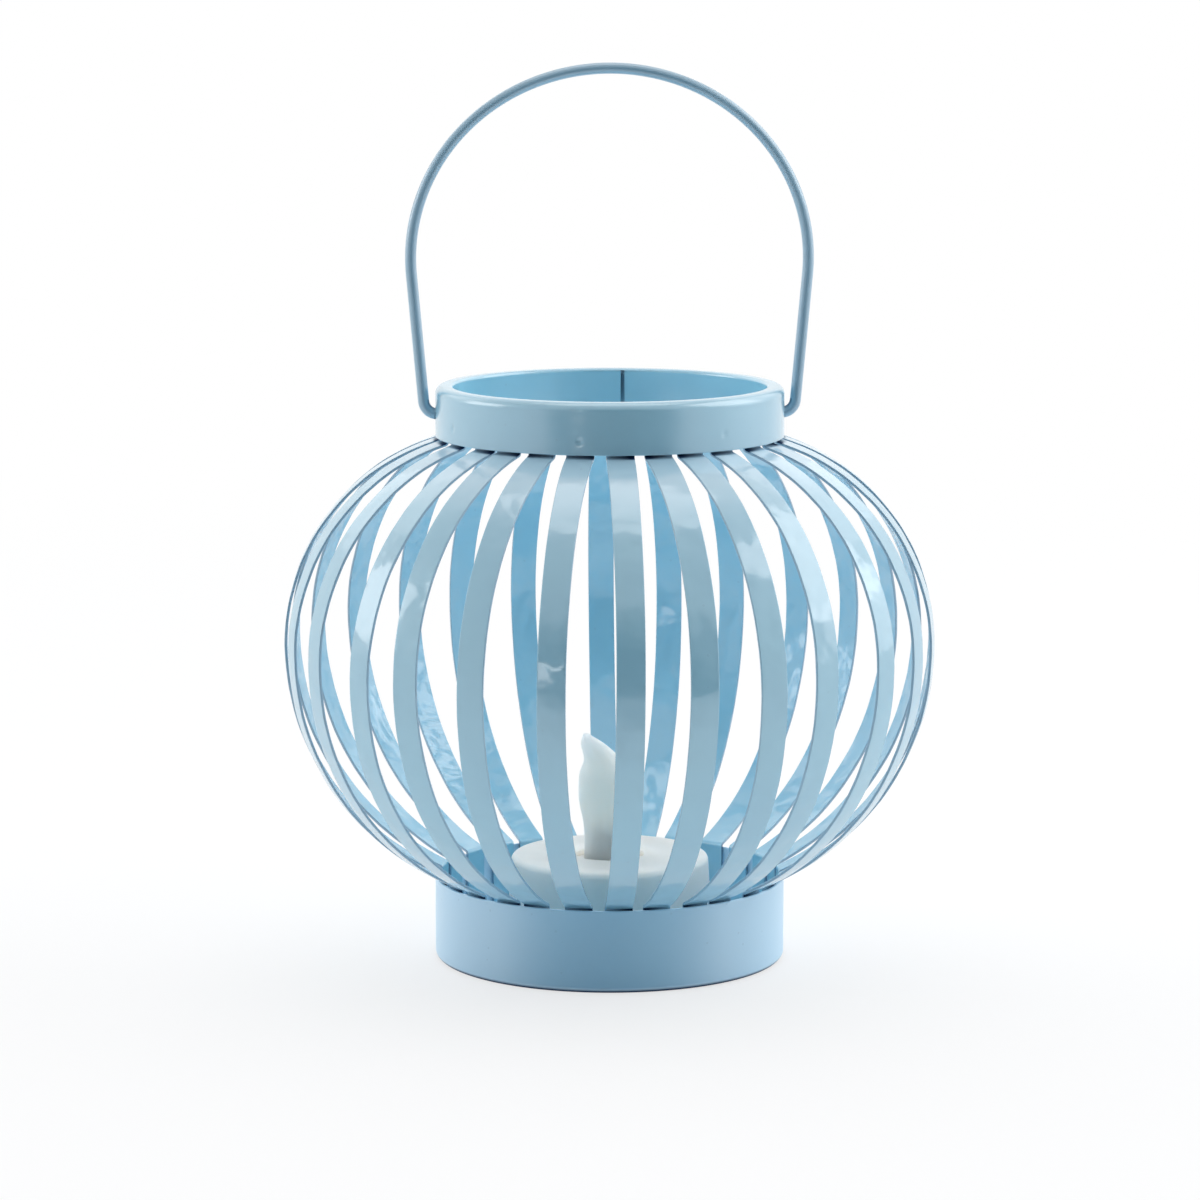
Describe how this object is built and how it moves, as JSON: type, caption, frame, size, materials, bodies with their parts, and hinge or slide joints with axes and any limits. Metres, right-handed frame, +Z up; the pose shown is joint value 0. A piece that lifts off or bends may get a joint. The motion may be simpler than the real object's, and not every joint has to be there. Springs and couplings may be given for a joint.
{
  "type": "metal strip lantern",
  "caption": "Small bulb-shaped lantern of bowed painted metal strips between a base cup and a collar, with a wire bail and a loose battery tealight inside.",
  "frame": {"origin": "middle of the base cup's underside, which the lantern stands on", "axes": "+Z up, -Y the front, +X along the axis that the bail swings on"},
  "size_m": [0.1142, 0.1144, 0.1574],
  "materials": {
    "blue_paint": "glossy pale blue enamel",
    "white_plastic": "moulded white, soft gloss",
    "flame_plastic": "milky translucent white",
    "led_resin": "clear amber resin",
    "tinned_wire": "tinned",
    "cell_steel": "nickel plated",
    "spring_steel": "nickel plated spring strip",
    "black_plastic": "fine matt"
  },
  "bodies": {
    "lantern": {"collar": "blue_paint", "base_cup": "blue_paint", "rib_01": "blue_paint", "rib_02": "blue_paint", "rib_03": "blue_paint", "rib_04": "blue_paint", "rib_05": "blue_paint", "rib_06": "blue_paint", "rib_07": "blue_paint", "rib_08": "blue_paint", "rib_09": "blue_paint", "rib_10": "blue_paint", "rib_11": "blue_paint", "rib_12": "blue_paint", "rib_13": "blue_paint", "rib_14": "blue_paint", "rib_15": "blue_paint", "rib_16": "blue_paint", "rib_17": "blue_paint", "rib_18": "blue_paint", "rib_19": "blue_paint", "rib_20": "blue_paint", "rib_21": "blue_paint", "rib_22": "blue_paint", "rib_23": "blue_paint", "rib_24": "blue_paint", "rib_25": "blue_paint", "rib_26": "blue_paint", "rib_27": "blue_paint", "rib_28": "blue_paint"},
    "handle": {"bail_handle": "blue_paint"},
    "tealight": {"tealight_shell": "white_plastic", "tealight_base_plate": "white_plastic", "flame_lens": "flame_plastic", "led_bulb": "led_resin", "led_leads": "tinned_wire", "contact_minus": "spring_steel", "contact_plus": "spring_steel"},
    "switch": {"switch_slider": "black_plastic", "switch_bridge": "spring_steel"},
    "cap_and_cell": {"battery_cap": "white_plastic", "coin_cell": "cell_steel"}
  },
  "joints": [
    {"name": "bail_swing", "type": "hinge", "parent": "lantern", "child": "handle", "pos_m": [0, 0, 0.0966], "axis": [1, 0, 0], "range_deg": [-108, 108]},
    {"name": "tealight_lift", "type": "slide", "parent": "lantern", "child": "tealight", "axis": [0, 0, 1], "range_m": [0, 0.103]},
    {"name": "switch_slide", "type": "slide", "parent": "tealight", "child": "switch", "axis": [0, 1, 0], "range_m": [0, 0.0025]},
    {"name": "cap_twist", "type": "hinge", "parent": "tealight", "child": "cap_and_cell", "pos_m": [-0.00511, 0, 0.003], "axis": [0, 0, -1], "range_deg": [0, 35]}
  ]
}
